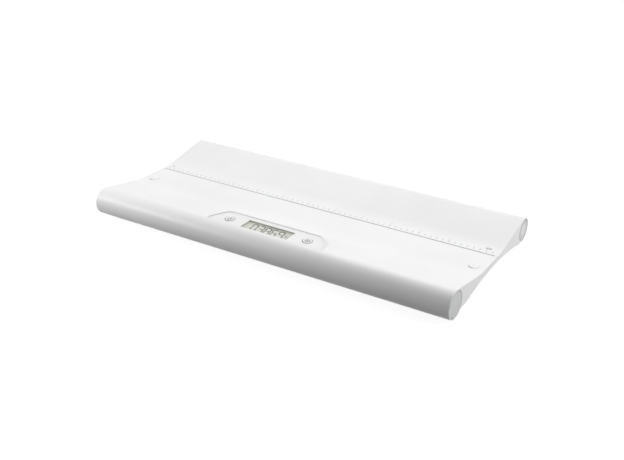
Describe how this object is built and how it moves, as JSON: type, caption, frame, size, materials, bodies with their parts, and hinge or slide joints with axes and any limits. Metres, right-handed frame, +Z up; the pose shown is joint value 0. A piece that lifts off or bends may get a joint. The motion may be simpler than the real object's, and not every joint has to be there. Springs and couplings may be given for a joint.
{
  "type": "digital baby weighing scale",
  "caption": "Baby scale with a shallow trough tray between two round edge tubes, a raised display console with two keys, and four sensing feet.",
  "frame": {"origin": "on the supporting surface, under the middle of the scale", "axes": "+X along the tray towards the hold key's end, +Y from the console's long edge to the rear edge, +Z up"},
  "size_m": [0.63, 0.2944, 0.0485],
  "materials": {
    "tray_plastic": "satin white moulding",
    "cover_plastic": "fine-textured white moulding",
    "cap_plastic": "satin light grey moulding",
    "key_plastic": "satin white key with a dark printed sign",
    "clear_window": "clear window",
    "display_glass": "olive-grey liquid crystal display",
    "frame_plastic": "moulded",
    "zebra_rubber": "conductive rubber",
    "circuit_board": "green solder mask",
    "component_black": "moulded",
    "plunger_plastic": "moulded",
    "plated_steel": "nickel plated",
    "cell_steel": "plated spring steel",
    "foot_plastic": "moulded",
    "pad_rubber": "non-slip rubber",
    "cell_sleeve": "plain sleeve",
    "lead_jacket": "soft jacket",
    "battery_lead_jacket": "soft jacket"
  },
  "bodies": {
    "body": {"tray_shell": "tray_plastic", "base_shell": "cover_plastic", "front_left_cap": "cap_plastic", "front_right_cap": "cap_plastic", "rear_left_cap": "cap_plastic", "rear_right_cap": "cap_plastic", "left_tray_plug": "tray_plastic", "right_tray_plug": "tray_plastic", "console_housing": "tray_plastic", "lcd_window": "clear_window", "lcd_panel": "display_glass", "lcd_frame": "frame_plastic", "zebra_strips": "zebra_rubber", "main_board": "circuit_board", "board_components": "component_black", "power_switch": "component_black", "hold_switch": "component_black", "buzzer": "component_black", "board_screws": "plated_steel", "base_screws": "plated_steel", "front_left_cell_carrier": "frame_plastic", "front_right_cell_carrier": "frame_plastic", "rear_left_cell_carrier": "frame_plastic", "rear_right_cell_carrier": "frame_plastic", "front_left_load_cell": "cell_steel", "front_right_load_cell": "cell_steel", "rear_left_load_cell": "cell_steel", "rear_right_load_cell": "cell_steel", "front_left_foot": "foot_plastic", "front_right_foot": "foot_plastic", "rear_left_foot": "foot_plastic", "rear_right_foot": "foot_plastic", "front_left_foot_pad": "pad_rubber", "front_right_foot_pad": "pad_rubber", "rear_left_foot_pad": "pad_rubber", "rear_right_foot_pad": "pad_rubber", "batteries": "cell_sleeve", "battery_contacts": "plated_steel", "battery_springs": "plated_steel", "cell_leads": "lead_jacket", "battery_leads": "battery_lead_jacket"},
    "power_key": {"power_button": "key_plastic", "power_plunger": "plunger_plastic"},
    "hold_key": {"hold_button": "key_plastic", "hold_plunger": "plunger_plastic"},
    "battery_door": {"battery_door": "cover_plastic"}
  },
  "joints": [
    {"name": "power_press", "type": "slide", "parent": "body", "child": "power_key", "axis": [0, 0, -1], "range_m": [0, 0.0005], "stiffness_N_per_m": 1500, "springref_m": -0.0004},
    {"name": "hold_press", "type": "slide", "parent": "body", "child": "hold_key", "axis": [0, 0, -1], "range_m": [0, 0.0005], "stiffness_N_per_m": 1500, "springref_m": -0.0004},
    {"name": "battery_door_swing", "type": "hinge", "parent": "body", "child": "battery_door", "pos_m": [0, -0.06955, 0.01476], "axis": [1, 0, 0], "range_deg": [0, 75]}
  ]
}
